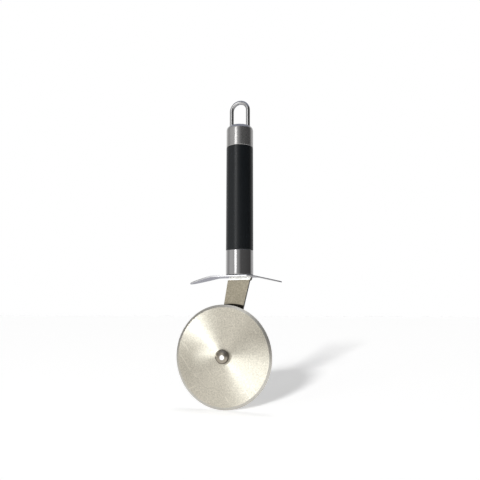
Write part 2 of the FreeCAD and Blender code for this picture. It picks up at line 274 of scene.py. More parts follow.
def cut_away(bm, cutters):
    """Take closed shapes out of a closed shape, and give the result as a new bmesh."""
    body = bpy.data.objects.new("cut_body", bpy.data.meshes.new("cut_body"))
    bmesh.ops.recalc_face_normals(bm, faces=bm.faces[:])
    bm.to_mesh(body.data)
    bm.free()
    tools = []
    for index, cutter in enumerate(cutters):
        tool = bpy.data.objects.new("cut_tool_%d" % index, bpy.data.meshes.new("cut_tool"))
        bmesh.ops.recalc_face_normals(cutter, faces=cutter.faces[:])
        cutter.to_mesh(tool.data)
        cutter.free()
        step = body.modifiers.new("cut", "BOOLEAN")
        step.operation = "DIFFERENCE"
        step.solver = "EXACT"
        step.object = tool
        tools.append(tool)
    for item in [body] + tools:
        bpy.context.scene.collection.objects.link(item)
    depsgraph = bpy.context.evaluated_depsgraph_get()
    result = bmesh.new()
    result.from_mesh(bpy.data.meshes.new_from_object(body.evaluated_get(depsgraph)))
    for item in [body] + tools:
        bpy.data.objects.remove(item)
    if not result.faces:
        raise RuntimeError("A cut left nothing of the piece")
    return result


def peg(radius, height, place):
    """A closed round cutter along Z."""
    bm = bmesh.new()
    bmesh.ops.create_cone(
        bm, cap_ends=True, segments=32, radius1=radius, radius2=radius, depth=height,
        matrix=Matrix.Translation(place),
    )
    return bm


def block(size, place):
    """A closed square cutter."""
    bm = bmesh.new()
    bmesh.ops.create_cube(bm, size=1.0, matrix=Matrix.Translation(place) @ Matrix.Diagonal((*size, 1.0)))
    return bm


def slice_at(bm, axis, places):
    """Cut across the sheet at each place along an axis."""
    normal = Vector((0.0, 0.0, 0.0))
    normal[axis] = 1.0
    for place in places:
        bmesh.ops.bisect_plane(
            bm, geom=bm.verts[:] + bm.edges[:] + bm.faces[:], dist=WELD,
            plane_co=normal * place, plane_no=normal,
        )


def even_places(start, end, count):
    return [start + (end - start) * index / count for index in range(count + 1)]


def thicken(bm, towards, thickness, edge):
    """Turn a sheet's face one way, give it its thickness behind that face, and round its edges."""
    bmesh.ops.recalc_face_normals(bm, faces=bm.faces[:])
    if sum(face.normal.dot(towards) for face in bm.faces) < 0:
        bmesh.ops.reverse_faces(bm, faces=bm.faces[:])
    bmesh.ops.solidify(bm, geom=bm.faces[:], thickness=thickness)
    bmesh.ops.recalc_face_normals(bm, faces=bm.faces[:])
    sharp = [item for item in bm.edges if item.is_manifold and item.calc_face_angle() > CORNER]
    bmesh.ops.bevel(
        bm, geom=sharp, offset=edge, offset_type="OFFSET", segments=3, profile=0.5, affect="EDGES",
        material=-1, clamp_overlap=True, miter_outer="ARC",
    )


def put_piece(bm, name, node, material):
    """Finish the mesh, make the object, and let it stand for its CAD node."""
    bmesh.ops.remove_doubles(bm, verts=bm.verts[:], dist=WELD)
    bmesh.ops.recalc_face_normals(bm, faces=bm.faces[:])
    for face in bm.faces:
        face.smooth = True
    for edge in bm.edges:
        edge.smooth = edge.is_manifold and edge.calc_face_angle() < CREASE
    mesh = bpy.data.meshes.new(name)
    bm.to_mesh(mesh)
    bm.free()
    mesh.materials.append(material)
    piece = bpy.data.objects.new(name, mesh)
    bpy.context.scene.collection.objects.link(piece)
    even = piece.modifiers.new("even_normals", "WEIGHTED_NORMAL")
    even.keep_sharp = True
    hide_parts(node)
    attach(piece, frame["nodes"][node]["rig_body"])
    return piece


# Finish helpers

def feed(tree, source, socket):
    """Fill a node's input, from another node's output or with a plain value."""
    if isinstance(source, bpy.types.NodeSocket):
        tree.links.new(source, socket)
    else:
        socket.default_value = source


def add_node(tree, kind, inputs=None, **settings):
    """Add a shader node, and fill its inputs by name or number."""
    node = tree.nodes.new("ShaderNode" + kind)
    for key, value in settings.items():
        setattr(node, key, value)
    for key, source in (inputs or {}).items():
        feed(tree, source, node.inputs[key])
    return node


def mix_colours(tree, factor, under, over):
    """One colour laid over another, by a factor from 0 to 1."""
    mix = add_node(tree, "Mix", {"Factor": factor}, data_type="RGBA")
    lower, upper = [socket for socket in mix.inputs if socket.type == "RGBA"]
    feed(tree, under, lower)
    feed(tree, over, upper)
    return next(socket for socket in mix.outputs if socket.type == "RGBA")


class Finish:
    """A material with one Principled shader. Even numbers go on its own sockets."""

    def __init__(self, name, base, metallic=1.0):
        self.material = bpy.data.materials.new(name)
        self.material.use_nodes = True
        self.tree = self.material.node_tree
        self.shader = self.tree.nodes["Principled BSDF"]
        self.base = tuple(base)
        self.set("Base Color", (*self.base, 1.0))
        self.set("Metallic", metallic)
        self.coords = self.add("TexCoord").outputs

    def add(self, kind, inputs=None, **settings):
        return add_node(self.tree, kind, inputs, **settings)

    def set(self, name, source):
        """Fill one of the shader's own inputs."""
        feed(self.tree, source, self.shader.inputs[name])

    def place(self, stretch, turn=(0.0, 0.0, 0.0), centre=(0.0, 0.0, 0.0)):
        """Object coordinates, centred, turned in degrees and then stretched."""
        shifted = self.add("VectorMath", {0: self.coords["Object"], 1: centre}, operation="SUBTRACT")
        rotation = [math.radians(degrees) for degrees in turn]
        turned = self.add("Mapping", {"Vector": shifted.outputs["Vector"], "Rotation": rotation})
        stretched = self.add("VectorMath", {0: turned.outputs["Vector"], 1: stretch}, operation="MULTIPLY")
        return stretched.outputs["Vector"]

    def noise(self, scale, detail=3.0, rough=0.5, place=None):
        """Noise on the object's own coordinates, or on a place that is stretched or turned."""
        here = self.coords["Object"] if place is None else place
        inputs = {"Vector": here, "Scale": scale, "Detail": detail, "Roughness": rough}
        return self.add("TexNoise", inputs).outputs["Fac"]

    def rings(self, distance, scale, detail=4.0):
        """Noise that changes only with one distance, for turned and ground marks."""
        inputs = {"W": distance, "Scale": scale, "Detail": detail}
        return self.add("TexNoise", inputs, noise_dimensions="1D").outputs["Fac"]

    def radius_from_hub(self, aside=0.0, above=0.0):
        """Distance from the axle, or from a line beside it, in metres."""
        centred = self.place((1.0, 0.0, 1.0), centre=(HUB.x + aside, 0.0, HUB.z + above))
        return self.add("VectorMath", {0: centred}, operation="LENGTH").outputs["Value"]

    def along(self, axis, coordinate="Object"):
        return self.add("SeparateXYZ", {"Vector": self.coords[coordinate]}).outputs[axis]

    def facing(self, axis):
        """How far the surface faces along an axis, either way."""
        return self.math("ABSOLUTE", self.along(axis, "Normal"), 0.0)

    def spread(self, source, low, high, from_low=0.35, from_high=0.65):
        """A pattern's usual range laid over another range."""
        inputs = {"Value": source, "From Min": from_low, "From Max": from_high, "To Min": low, "To Max": high}
        return self.add("MapRange", inputs).outputs["Result"]

    def math(self, operation, first, second):
        return self.add("Math", {0: first, 1: second}, operation=operation).outputs["Value"]

    def share(self, share):
        """The base colour times one number, or times one for each channel."""
        shares = share if isinstance(share, tuple) else (share, share, share)
        return (*[min(1.0, c * s) for c, s in zip(self.base, shares)], 1.0)

    def tint(self, factor, dark, light):
        """The base colour between two shares of itself, by a pattern from 0 to 1."""
        self.set("Base Color", mix_colours(self.tree, factor, self.share(dark), self.share(light)))

    def paint_shade_and_light(self, mask, share):
        """Take the base colour towards a share of itself, where the mask is 1: painted shade below a share of
        1, painted light above it.
        """
        under = self.shader.inputs["Base Color"].links[0].from_socket
        self.set("Base Color", mix_colours(self.tree, mask, under, self.share(share)))

    def paint_highlight(self, mask, share, metallic):
        """A painted highlight: a lighter colour that mirrors less."""
        self.paint_shade_and_light(mask, share)
        self.set("Metallic", self.spread(mask, 1.0, metallic, 0.0, 1.0))

    def rough(self, first, *more):
        """The roughness, as the sum of its parts."""
        total = first
        for part in more:
            total = self.math("ADD", total, part)
        self.set("Roughness", total)

    def bump(self, source, strength, depth):
        node = self.add("Bump", {"Strength": strength, "Distance": depth, "Height": source})
        self.set("Normal", node.outputs["Normal"])

    def brushed(self, amount):
        """Stretched highlights across marks that run round the piece."""
        tangent = self.add("Tangent", direction_type="UV_MAP", uv_map="around")
        self.set("Tangent", tangent.outputs["Tangent"])
        self.set("Anisotropic", amount)
        self.set("Anisotropic Rotation", 0.25)


def wire_finish(base):
    """Polished wire with faint draw lines along it."""
    finish = Finish("polished_wire", base)
    draw_lines = finish.noise(1800.0, 2.0, place=finish.place((3.0, 3.0, 0.05)))
    smears = finish.noise(260.0)
    finish.tint(finish.spread(draw_lines, 0.0, 1.0), 0.95, 1.0)
    finish.rough(finish.spread(smears, 0.12, 0.15), finish.spread(draw_lines, 0.0, 0.03))
    finish.bump(smears, 0.02, 0.02 * MM)
    return finish.material


def turned_finish(name, base, dull, ring_share, brushed=0.0, foot_shade=0.0):
    """Drawn and polished steel: faint turning marks, a few smears, and painted shade at the foot in the
    corner.
    """
    finish = Finish(name, base)
    height = finish.along("Z")
    marks = finish.rings(height, 3200.0, 6.0)
    smears = finish.noise(150.0, 2.0, place=finish.place((1.0, 1.0, 0.6)))
    specks = finish.noise(5200.0, 2.0)
    finish.tint(finish.spread(marks, 0.0, 1.0, 0.3, 0.7), 1.0 - ring_share, 1.0)
    if foot_shade:
        # Painted shade: darker towards the bottom, over the foot's height
        middle, top = FERRULE_LOW.z + foot_shade / 2, FERRULE_LOW.z + foot_shade
        finish.paint_shade_and_light(finish.spread(height, 1.0, 0.0, middle, top), 0.25)
    finish.rough(finish.spread(smears, *dull), finish.spread(specks, 0.0, 0.03))
    finish.bump(marks, 0.4 * ring_share, 0.02 * MM)
    if brushed:
        finish.brushed(brushed)
    return finish.material


def grip_finish(base):
    """Matte moulding with a spark-eroded grain, a little shinier where it is handled."""
    finish = Finish("matte_black_moulding", base, metallic=0.0)
    finish.set("Specular IOR Level", 0.55)
    pits = finish.noise(3400.0, 3.0, 0.55)
    handled = finish.noise(70.0, place=finish.place((1.0, 1.0, 0.35)))
    dust = finish.noise(1500.0, 5.0, 0.65, finish.place((1.0, 1.0, 1.0), (12.0, 0.0, 25.0)))
    finish.tint(finish.spread(dust, 0.0, 1.0, 0.5, 0.72), 0.9, 1.8)
    finish.rough(finish.spread(handled, 0.27, 0.31), finish.spread(pits, 0.0, 0.05))
    finish.bump(pits, 0.16, 0.04 * MM)
    return finish.material


def guard_finish(base):
    """Polished sheet, a little wavy, with painted shade on its sides and on its cut edge on the right, and a
    painted highlight at the middle of the front.
    """
    finish = Finish("polished_sheet", base)
    waves = finish.noise(95.0, 2.0, place=finish.place((1.0, 0.5, 1.0)))
    hairs = finish.noise(2400.0, 4.0, 0.6, finish.place((0.05, 3.0, 1.0), (0.0, 0.0, 4.0)))
    finish.tint(finish.spread(hairs, 0.0, 1.0), 0.9, 1.0)
    # Painted shade on the faces seen from the side
    finish.paint_shade_and_light(finish.spread(finish.facing("X"), *SHADED_SIDE), 0.5)
    # The cut edge gets a painted highlight round the middle, and painted shade beyond 8 mm on the right
    cut_edge = finish.spread(finish.facing("Y"), 0.0, 1.0, 0.35, 0.6)
    across = finish.along("X")
    right = finish.spread(across, 0.0, 1.0, 7.5 * MM, 9.0 * MM)
    finish.paint_shade_and_light(finish.math("MULTIPLY", cut_edge, right), 0.55)
    middle = finish.math("SUBTRACT", finish.spread(across, 0.0, 1.0, -24.0 * MM, -9.0 * MM), right)
    rubbed_and_highlit = finish.math("MULTIPLY", cut_edge, finish.math("MAXIMUM", middle, 0.0))
    finish.paint_highlight(rubbed_and_highlit, 1.3, 0.3)
    finish.rough(finish.spread(waves, 0.10, 0.18), finish.spread(hairs, 0.0, 0.05))
    finish.bump(waves, 0.12, 0.3 * MM)
    return finish.material


def arm_finish(base):
    """Satin strip: speckled grain, rubbing marks, painted shade on its sides, a painted highlight at the bend
    and a painted shadow above the wheel's rim.
    """
    finish = Finish("satin_strip", base)
    grain = finish.noise(2600.0, 4.0, 0.65, finish.place((2.2, 1.0, 0.35), (0.0, -11.0, 0.0)))
    specks = finish.noise(900.0, 6.0, 0.8)
    rubbed_and_highlit = finish.noise(120.0)
    worn = finish.math("MULTIPLY", finish.spread(grain, 0.6, 1.0), finish.spread(specks, *SPECKLE))
    finish.tint(worn, (0.60, 0.585, 0.57), 1.12)
    side = finish.spread(finish.facing("X"), *SHADED_SIDE)
    # Painted shade on the strip's sides
    finish.paint_shade_and_light(side, 0.22)
    # Painted highlight at the bend under the guard: a lighter colour that mirrors less
    bend = finish.spread(finish.along("Z"), 0.0, 1.0, ARM_BEND_FOOT - 0.3 * MM, ARM_BEND_FOOT + 0.2 * MM)
    finish.paint_highlight(finish.math("MULTIPLY", bend, finish.spread(side, 1.0, 0.0)), (2.0, 2.17, 2.6), 0.3)
    # On the front only, a painted shadow: a dark arc just above the wheel's rim, set off to follow it as the
    # camera sees it
    shade = finish.radius_from_hub(4.6 * MM, 0.46 * MM)
    shade = finish.spread(shade, 1.0, 0.0, WHEEL_RADIUS, WHEEL_RADIUS + 0.35 * MM)
    front = finish.spread(finish.along("Y"), 1.0, 0.0, ARM_LOW.y + 0.1 * MM, ARM_LOW.y + 0.3 * MM)
    finish.paint_shade_and_light(finish.math("MULTIPLY", shade, front), 0.03)
    finish.rough(finish.spread(rubbed_and_highlit, 0.30, 0.40), finish.spread(grain, 0.0, 0.08))
    finish.bump(grain, 0.12, 0.03 * MM)
    return finish.material


def blade_finish(base):
    """Ground disc: marks in circles, fine specks and a few hair scratches."""
    finish = Finish("ground_disc", base)
    radius = finish.radius_from_hub()
    marks = finish.rings(radius, 2600.0, 8.0)
    bands = finish.rings(radius, 330.0, 2.0)
    specks = finish.noise(1050.0, 6.0, 0.8)
    patches = finish.noise(85.0)
    worn = finish.math("MULTIPLY", finish.spread(specks, *SPECKLE), finish.spread(marks, 0.8, 1.0))
    for turn, scale in ((32.0, 900.0), (20.0, 780.0), (-52.0, 820.0)):
        scratches = finish.noise(scale, 1.0, place=finish.place((0.11, 1.0, 1.0), (0.0, turn, 0.0)))
        worn = finish.math("MAXIMUM", worn, finish.spread(scratches, 0.0, 1.0, 0.69, 0.74))
    finish.tint(worn, (0.70, 0.69, 0.66), 1.16)
    finish.rough(
        finish.spread(patches, 0.40, 0.44), finish.spread(marks, 0.0, 0.06), finish.spread(bands, 0.0, 0.03),
    )
    finish.bump(finish.math("ADD", marks, finish.math("MULTIPLY", specks, 0.6)), 0.10, 0.03 * MM)
    finish.brushed(0.77)
    return finish.material


def edge_finish(base):
    """The ground bevel, with fine marks from the stone."""
    finish = Finish("ground_edge", base)
    specks = finish.noise(2600.0, 4.0, 0.65)
    passes = finish.rings(finish.radius_from_hub(), 5200.0)
    finish.tint(finish.spread(specks, 0.0, 1.0), 0.8, 1.05)
    finish.rough(finish.spread(specks, 0.24, 0.34), finish.spread(passes, 0.0, 0.06))
    finish.bump(passes, 0.12, 0.02 * MM)
    finish.brushed(0.5)
    return finish.material


def fastener_finish(name, base, dull, highlight_radius=0.0):
    """Steel or brass with turning rings and small dents, and a painted highlight near the middle of a rivet's
    head.
    """
    finish = Finish(name, base)
    rings = finish.rings(finish.radius_from_hub(), 9000.0)
    dents = finish.noise(1300.0)
    finish.tint(finish.spread(dents, 0.0, 1.0), 0.85, 1.0)
    if highlight_radius:
        # A painted highlight, set off the middle of the head's dish
        off_middle = finish.radius_from_hub(0.6 * MM, -0.4 * MM)
        spot = finish.spread(off_middle, 1.0, 0.0, 0.9 * highlight_radius, 1.12 * highlight_radius)
        finish.paint_highlight(spot, (2.75, 3.1, 3.7), 0.4)
    finish.rough(finish.spread(dents, *dull), finish.spread(rings, 0.0, 0.05))
    finish.bump(finish.math("ADD", rings, dents), 0.10, 0.03 * MM)
    return finish.material


def nylon_finish(base):
    """Natural nylon with flow marks along the handle."""
    finish = Finish("natural_nylon", base, metallic=0.0)
    flow = finish.noise(240.0, 4.0, place=finish.place((1.0, 1.0, 0.3)))
    finish.tint(finish.spread(flow, 0.0, 1.0), 0.9, 1.05)
    finish.rough(finish.spread(flow, 0.42, 0.55))
    finish.bump(flow, 0.1, 0.05 * MM)
    return finish.material


def pin_finish(base):
    """Ground pin with lines along it."""
    finish = Finish("ground_pin", base)
    lines = finish.noise(3000.0, place=finish.place((1.0, 0.1, 1.0)))
    finish.tint(finish.spread(lines, 0.0, 1.0), 0.85, 1.0)
    finish.rough(finish.spread(lines, 0.25, 0.38))
    finish.bump(lines, 0.1, 0.02 * MM)
    return finish.material


# Operators

class CUTTER_OT_hanging_loop(bpy.types.Operator):
    """Bend the hanging loop from round wire"""

    bl_idname = "cutter.hanging_loop"
    bl_label = "Hanging loop"

    def execute(self, context):
        sizes = context.scene.cutter_handle
        wire_r = sizes.wire / 2
        bend_r = LOOP_HIGH.x - wire_r
        bend_z = LOOP_HIGH.z - wire_r - bend_r
        leg = bend_z - LOOP_LOW.z
        bm = bmesh.new()
        bmesh.ops.create_circle(
            bm, segments=28, radius=wire_r, matrix=Matrix.Translation((-bend_r, 0.0, LOOP_LOW.z)),
        )
        ring = push_ring(bm, bm.edges[:], (0.0, 0.0, leg))
        ring_verts = list({vert for edge in ring for vert in edge.verts})
        made = bmesh.ops.spin(
            bm, geom=ring_verts + ring, cent=(0.0, 0.0, bend_z), axis=(0.0, 1.0, 0.0),
            angle=math.pi, steps=48,
        )
        last = [g for g in made["geom_last"] if isinstance(g, bmesh.types.BMEdge)]
        push_ring(bm, last, (0.0, 0.0, -leg))
        bmesh.ops.holes_fill(bm, edges=bm.edges[:], sides=0)
        material = wire_finish(context.scene.cutter_finish.wire)
        put_piece(bm, "loop_of_wire", "hanging_loop", material)
        return {"FINISHED"}


class CUTTER_OT_end_cap(bpy.types.Operator):
    """Draw the end cap, a steel cup upside down with a hole for each leg of the loop"""

    bl_idname = "cutter.end_cap"
    bl_label = "End cap"

    def execute(self, context):
        sizes = context.scene.cutter_handle
        outer = CAP_HIGH.x
        inner = outer - sizes.cap_wall
        inner_shoulder = sizes.cap_shoulder - sizes.cap_wall
        top = CAP_HIGH.z
        edge = sizes.seam_edge
        bm = bmesh.new()
        pen = Pen(bm, 0.0, top)
        pen.line(outer - sizes.cap_shoulder, top)
        pen.round(outer - sizes.cap_shoulder, top - sizes.cap_shoulder, -90, 14)
        pen.line(outer, CAP_LOW.z + edge)
        pen.round(outer - edge, CAP_LOW.z + edge, -90, 5)
        pen.line(inner, CAP_LOW.z)
        pen.line(inner, top - sizes.cap_shoulder)
        pen.round(inner - inner_shoulder, top - sizes.cap_shoulder, 90, 10)
        pen.line(0.0, top - sizes.cap_wall)
        turn_round(bm, 96)
        leg_r = sizes.wire / 2
        leg_x = LOOP_HIGH.x - leg_r
        depth = sizes.cap_shoulder * 3
        holes = [peg(leg_r + sizes.leg_gap, depth, (side * leg_x, 0.0, top)) for side in (-1, 1)]
        bm = cut_away(bm, holes)
        base = context.scene.cutter_finish.cap
        material = turned_finish("satin_cap", base, (0.24, 0.28), ring_share=0.10, brushed=0.3)
        put_piece(bm, "cap_shell", "end_cap", material)
        return {"FINISHED"}


class CUTTER_OT_grip_sleeve(bpy.types.Operator):
    """Mould the grip sleeve"""

    bl_idname = "cutter.grip_sleeve"
    bl_label = "Grip sleeve"

    def execute(self, context):
        sizes = context.scene.cutter_handle
        outer = SLEEVE_HIGH.x
        edge = sizes.sleeve_edge
        bm = bmesh.new()
        pen = Pen(bm, sizes.sleeve_bore, SLEEVE_LOW.z)
        pen.line(outer - edge, SLEEVE_LOW.z)
        pen.round(outer - edge, SLEEVE_LOW.z + edge, 90, 6)
        pen.line(outer, SLEEVE_HIGH.z - edge)
        pen.round(outer - edge, SLEEVE_HIGH.z - edge, 90, 6)
        pen.line(sizes.sleeve_bore, SLEEVE_HIGH.z)
        pen.close()
        turn_round(bm, 96)
        material = grip_finish(context.scene.cutter_finish.grip)
        put_piece(bm, "grip_moulding", "grip_sleeve", material)
        return {"FINISHED"}


def slot_half(sizes):
    """Half the slot for the arm's tang, across and through."""
    return sizes.tang + sizes.tang_gap, sizes.arm_strip / 2 + sizes.tang_gap


class CUTTER_OT_lower_ferrule(bpy.types.Operator):
    """Draw the lower ferrule, a steel cup with a slot for the arm's tang"""

    bl_idname = "cutter.lower_ferrule"
    bl_label = "Lower ferrule"

    def execute(self, context):
        sizes = context.scene.cutter_handle
        outer = FERRULE_HIGH.x
        inner = outer - sizes.ferrule_wall
        low, high = FERRULE_LOW.z, FERRULE_HIGH.z
        edge, seam = sizes.ferrule_edge, sizes.seam_edge
        bm = bmesh.new()
        pen = Pen(bm, 0.0, low)
        pen.line(outer - edge, low)
        pen.round(outer - edge, low + edge, 90, 10)
        pen.line(outer, high - seam)
        pen.round(outer - seam, high - seam, 90, 5)
        pen.line(inner, high)
        pen.line(inner, low + sizes.ferrule_wall + seam)
        pen.round(inner - seam, low + sizes.ferrule_wall + seam, -90, 4)
        pen.line(0.0, low + sizes.ferrule_wall)
        turn_round(bm, 96)
        half_x, half_y = slot_half(context.scene.cutter_blade)
        slot = block((2 * half_x, 2 * half_y, 4 * sizes.ferrule_wall), (0.0, 0.0, low))
        bm = cut_away(bm, [slot])
        base = context.scene.cutter_finish.ferrule
        material = turned_finish("mirror_ferrule", base, (0.06, 0.09), ring_share=0.05, foot_shade=edge)
        put_piece(bm, "ferrule_shell", "lower_ferrule", material)
        return {"FINISHED"}


class CUTTER_OT_finger_guard(bpy.types.Operator):
    """Press the finger guard: an oval sheet with two drooping wings"""

    bl_idname = "cutter.finger_guard"
    bl_label = "Finger guard"

    def execute(self, context):
        sizes = context.scene.cutter_blade
        middle = (GUARD_LOW + GUARD_HIGH) / 2
        half = (GUARD_HIGH - GUARD_LOW) / 2
        flat, bend, droop = sizes.guard_flat, sizes.guard_bend, sizes.guard_droop
        bm = bmesh.new()
        bmesh.ops.create_circle(bm, cap_ends=True, segments=96, radius=1.0)
        bmesh.ops.scale(bm, vec=(half.x, half.y, 1.0), verts=bm.verts[:])
        bend_end = flat + bend * math.sin(droop)
        bends = even_places(flat, bend_end, 8)
        half_x, half_y = slot_half(sizes)
        slot_x = [side * half_x - middle.x for side in (-1, 1)]
        slot_y = [side * half_y - middle.y for side in (-1, 1)]
        tips = [0.8 * side * half.x for side in (-1, 1)]
        slice_at(bm, 0, bends + [-place for place in bends] + slot_x + tips)
        slice_at(bm, 1, slot_y)
        inside = []
        for face in bm.faces:
            spot = face.calc_center_median()
            if slot_x[0] < spot.x < slot_x[1] and slot_y[0] < spot.y < slot_y[1]:
                inside.append(face)
        bmesh.ops.delete(bm, geom=inside, context="FACES")
        for vert in bm.verts:
            reach = min(abs(vert.co.x), bend_end) - flat
            if reach > 0:
                fall = bend - math.sqrt(bend ** 2 - reach ** 2)
                vert.co.z -= fall + max(0.0, abs(vert.co.x) - bend_end) * math.tan(droop)
        bmesh.ops.translate(bm, vec=(middle.x, middle.y, GUARD_HIGH.z), verts=bm.verts[:])
        thicken(bm, Vector((0.0, 0.0, 1.0)), sizes.guard_sheet, sizes.guard_edge)
        material = guard_finish(context.scene.cutter_finish.guard)
        put_piece(bm, "guard_sheet", "finger_guard", material)
        return {"FINISHED"}


class CUTTER_OT_arm(bpy.types.Operator):
    """Bend the arm from strip: tang, jog and tapered leg with a round end"""

    bl_idname = "cutter.arm"
    bl_label = "Arm"

    def execute(self, context):
        sizes = context.scene.cutter_blade
        tang, end_r = sizes.tang, sizes.arm_end
        shoulder_z = GUARD_HIGH.z - sizes.guard_sheet
        left, right = ARM_HIGH.x - sizes.arm_width, ARM_HIGH.x
        lean = math.atan2(HUB.x - (left + right) / 2, shoulder_z - HUB.z)
        # The taper makes the round end wrap a little past the half turn on each side
        wrap = math.radians(2.0)
        start = wrap - lean
        bm = bmesh.new()
        pen = Pen(bm, tang, ARM_HIGH.z)
        pen.line(tang, shoulder_z)
        pen.line(right, shoulder_z)
        pen.line(HUB.x + end_r * math.cos(start), HUB.z + end_r * math.sin(start))
        pen.round(HUB.x, HUB.z, -math.degrees(math.pi + 2 * wrap), 20)
        pen.line(left, shoulder_z)
        pen.line(-tang, shoulder_z)
        pen.line(-tang, ARM_HIGH.z)
        pen.close()
        upright = Matrix.Translation(HUB) @ Matrix.Rotation(math.radians(90), 4, "X")
        bmesh.ops.create_circle(bm, segments=24, radius=sizes.rivet_shank + sizes.rivet_gap, matrix=upright)
        for vert in bm.verts:
            vert.co.y = 0.0
        bmesh.ops.remove_doubles(bm, verts=bm.verts[:], dist=WELD)
        bmesh.ops.triangle_fill(bm, use_beauty=True, use_dissolve=False, edges=bm.edges[:])
        # The front face: a tight bend forwards and a wider one down, so the leg runs in front of the tang
        jog = sizes.arm_jog
        tight, wide = sizes.arm_bend, sizes.arm_bend + sizes.arm_strip
        middle = (tight + wide) / 2
        drop = 2 * middle * math.sin(jog)
        crease = tight * math.sin(jog)
        turns = even_places(0.0, jog, 8)
        slice_at(bm, 2, [shoulder_z - tight * math.sin(turn) for turn in turns])
        slice_at(bm, 2, [shoulder_z - drop + wide * math.sin(turn) for turn in turns])
        for vert in bm.verts:
            down = max(shoulder_z - vert.co.z, 0.0)
            if down <= crease:
                vert.co.y = math.sqrt(tight ** 2 - down ** 2) - middle
            else:
                near = max(drop - down, 0.0)
                vert.co.y = middle * (2 * math.cos(jog) - 1) - math.sqrt(wide ** 2 - near ** 2)
        thicken(bm, Vector((0.0, -1.0, 0.0)), sizes.arm_strip, sizes.arm_edge)
        put_piece(bm, "arm_strip", "arm", arm_finish(context.scene.cutter_finish.arm))
        return {"FINISHED"}


class CUTTER_OT_cutting_wheel(bpy.types.Operator):
    """Grind the cutting wheel from a disc"""

    bl_idname = "cutter.cutting_wheel"
    bl_label = "Cutting wheel"

    def execute(self, context):
        sizes = context.scene.cutter_blade
        outer = WHEEL_RADIUS
        front, back = WHEEL_LOW.y, WHEEL_HIGH.y
        middle = (front + back) / 2
        edge = sizes.cutting_edge / 2
        bore, shoulder = sizes.wheel_bore, outer - sizes.bevel
        inset = shoulder - 6.0 * MM
        disc = (
            (bore, front), (inset, front), (shoulder, front),
            (shoulder, back), (inset, back), (bore, back),
        )
        bevel = (
            (shoulder, front), (outer - edge / 2, middle - edge), (outer, middle - edge / 2),
            (outer, middle + edge / 2), (outer - edge / 2, middle + edge), (shoulder, back),
        )
        finish = context.scene.cutter_finish
        for name, outline, material in (
            ("wheel_disc", disc, blade_finish(finish.blade)),
            ("wheel_bevel", bevel, edge_finish(finish.edge)),
        ):
            bm = bmesh.new()
            pen = Pen(bm, *outline[0])
            for radius, depth in outline[1:]:
                pen.line(radius, depth)
            pen.close()
            turn_on_axle(bm, sizes.steps)
            put_piece(bm, name, "cutting_wheel", material)
        return {"FINISHED"}


class CUTTER_OT_axle_rivet(bpy.types.Operator):
    """Turn the axle rivet with its domed, dished head and peened tail"""

    bl_idname = "cutter.axle_rivet"
    bl_label = "Axle rivet"

    def execute(self, context):
        sizes = context.scene.cutter_blade
        head_r = (RIVET_HIGH.x - RIVET_LOW.x) / 2
        dish, shoulder = sizes.rivet_dish, sizes.rivet_shoulder
        shank, tail_r = sizes.rivet_shank, sizes.rivet_tail
        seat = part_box("front_washer")[0].y
        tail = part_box("rear_washer")[1].y
        soft, dish_depth = 0.12 * MM, 0.2 * MM
        bm = bmesh.new()
        pen = Pen(bm, 0.0, RIVET_LOW.y + dish_depth)
        pen.dome(dish - soft, RIVET_LOW.y + soft / 4, 8)
        pen.line(dish + soft, RIVET_LOW.y + soft / 4)
        pen.dome(head_r - soft, seat - sizes.rivet_rim, 10)
        pen.line(head_r, seat - sizes.rivet_rim + soft)
        for radius, depth in (
            (head_r, seat), (shoulder, seat), (shoulder, ARM_LOW.y), (shank, ARM_LOW.y),
            (shank, tail), (tail_r - soft, tail), (tail_r, tail + soft),
        ):
            pen.line(radius, depth)
        pen.dome(0.0, RIVET_HIGH.y, 8)
        turn_on_axle(bm, 64)
        rivet = context.scene.cutter_finish.rivet
        material = fastener_finish("bright_rivet", rivet, (0.26, 0.34), highlight_radius=dish)
        put_piece(bm, "rivet_turned", "axle_rivet", material)
        return {"FINISHED"}


class CUTTER_OT_washers(bpy.types.Operator):
    """Stamp the three washers, each with one rounded and one sheared edge"""

    bl_idname = "cutter.washers"
    bl_label = "Washers"

    def execute(self, context):
        finish = context.scene.cutter_finish
        sizes = context.scene.cutter_blade
        bright = fastener_finish("bright_washer", finish.washer, (0.14, 0.22))
        # The front washer is darker, at half the rivet's colour
        dark = fastener_finish("darker_washer", [0.5 * c for c in finish.rivet], (0.3, 0.4))
        shoulder = sizes.rivet_shoulder + sizes.rivet_gap
        shank = sizes.rivet_shank + sizes.rivet_gap
        for node, bore, material in (
            ("front_washer", shoulder, dark),
            ("spacer_washer", shoulder, bright),
            ("rear_washer", shank, bright),
        ):
            low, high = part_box(node)
            outer = (high.x - low.x) / 2
            soft = (high.y - low.y) * 0.4
            # The rounded edge is at the back of the rear washer, and at the front of the others
            side = 1 if node == "rear_washer" else -1
            sheared, rounded = (low.y, high.y) if side > 0 else (high.y, low.y)
            bm = bmesh.new()
            pen = Pen(bm, bore, sheared)
            pen.line(outer, sheared)
            pen.line(outer, rounded - side * soft)
            pen.round(outer - soft, rounded - side * soft, side * 90, 5)
            pen.line(bore, rounded)
            pen.close()
            turn_on_axle(bm, 72)
            put_piece(bm, node + "_ring", node, material)
        return {"FINISHED"}


class CUTTER_OT_inner_parts(bpy.types.Operator):
    """Finish the pieces that the CAD frame keeps: plugs, core, pins and bush"""

    bl_idname = "cutter.inner_parts"
    bl_label = "Inner parts"

    def execute(self, context):
        finish = context.scene.cutter_finish
        nylon = nylon_finish(finish.nylon)
        finishes = {
            "cap_plug": nylon,
            "handle_core": nylon,
            "ferrule_plug": nylon,
            "tang_pins": pin_finish(finish.pins),
            "wheel_bush": fastener_finish("turned_brass", finish.brass, (0.2, 0.3)),
        }
        for node, material in finishes.items():
            for place in frame["nodes"][node].material_slots:
                place.material = material
        return {"FINISHED"}


